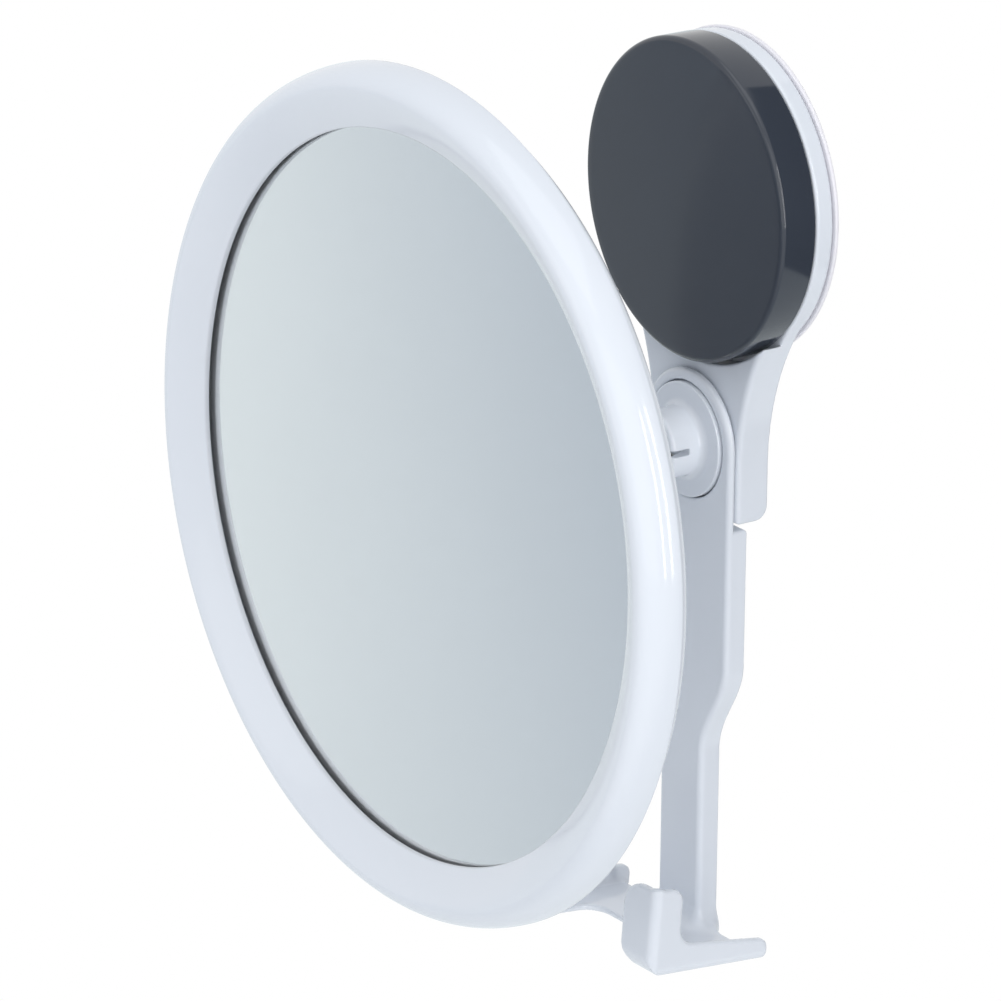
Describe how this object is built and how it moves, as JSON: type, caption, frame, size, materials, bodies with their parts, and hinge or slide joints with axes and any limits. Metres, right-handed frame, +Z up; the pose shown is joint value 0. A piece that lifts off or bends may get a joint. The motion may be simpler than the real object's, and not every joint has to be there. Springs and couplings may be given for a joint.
{
  "type": "suction cup makeup mirror",
  "caption": "Round white makeup mirror on a ball joint, held to the wall by a twist-lock suction cup, with a forked razor tray below.",
  "frame": {"origin": "centre of the suction face, on the wall", "axes": "+Y goes into the wall, the mirror looks along -Y, +Z is up and +X is to the right of a person who looks into the mirror"},
  "size_m": [0.1902, 0.0922, 0.2117],
  "materials": {
    "white_plastic": "smooth satin white with a cool tint",
    "dark_plastic": "smooth semi-gloss blue-grey, almost black",
    "clear_rubber": "clear soft vinyl",
    "natural_plastic": "natural unpainted",
    "steel": "zinc plated",
    "silvered_glass": "polished, silvered at the back",
    "foam": "dark closed-cell foam"
  },
  "bodies": {
    "bracket": {"suction_cup": "clear_rubber", "thrust_washer": "natural_plastic", "bracket_housing": "white_plastic", "arm": "white_plastic", "arm_screw_left": "steel", "arm_screw_right": "steel", "ball_socket": "white_plastic", "pressure_seat": "natural_plastic", "spring_washer": "steel", "socket_back_plate": "steel", "socket_screw_left": "steel", "socket_screw_right": "steel"},
    "knob": {"lock_knob": "dark_plastic", "drive_nut": "steel"},
    "stud": {"cup_stud": "steel"},
    "pan_liner": {"front_liner": "natural_plastic"},
    "tilt_liner": {"rear_liner": "natural_plastic"},
    "mirror_head": {"ball_stem": "steel", "stem_nut": "steel", "mirror_frame": "white_plastic", "mirror_glass": "silvered_glass", "glass_pad": "foam", "back_cover": "white_plastic", "cover_screw_1": "steel", "cover_screw_2": "steel", "cover_screw_3": "steel", "cover_screw_4": "steel"}
  },
  "joints": [
    {"name": "lock_knob_turn", "type": "hinge", "parent": "bracket", "child": "knob", "pos_m": [0, 0, 0], "axis": [0, -1, 0], "range_deg": [0, 180]},
    {"name": "cup_stud_slide", "type": "slide", "parent": "bracket", "child": "stud", "axis": [0, 1, 0], "range_m": [0, 0.0018]},
    {"name": "mirror_pan", "type": "hinge", "parent": "bracket", "child": "pan_liner", "pos_m": [0, -0.0131, -0.0555], "axis": [0, 0, 1], "range_deg": [-18, 18]},
    {"name": "mirror_tilt", "type": "hinge", "parent": "pan_liner", "child": "tilt_liner", "pos_m": [0, -0.0131, -0.0555], "axis": [1, 0, 0], "range_deg": [-18, 12]},
    {"name": "mirror_spin", "type": "hinge", "parent": "tilt_liner", "child": "mirror_head", "pos_m": [0, -0.0131, -0.0555], "axis": [0, -1, 0], "continuous": true}
  ],
  "couplings": [
    {"joint": "cup_stud_slide", "follows": "lock_knob_turn", "m_per_rad": 0.00057296}
  ]
}
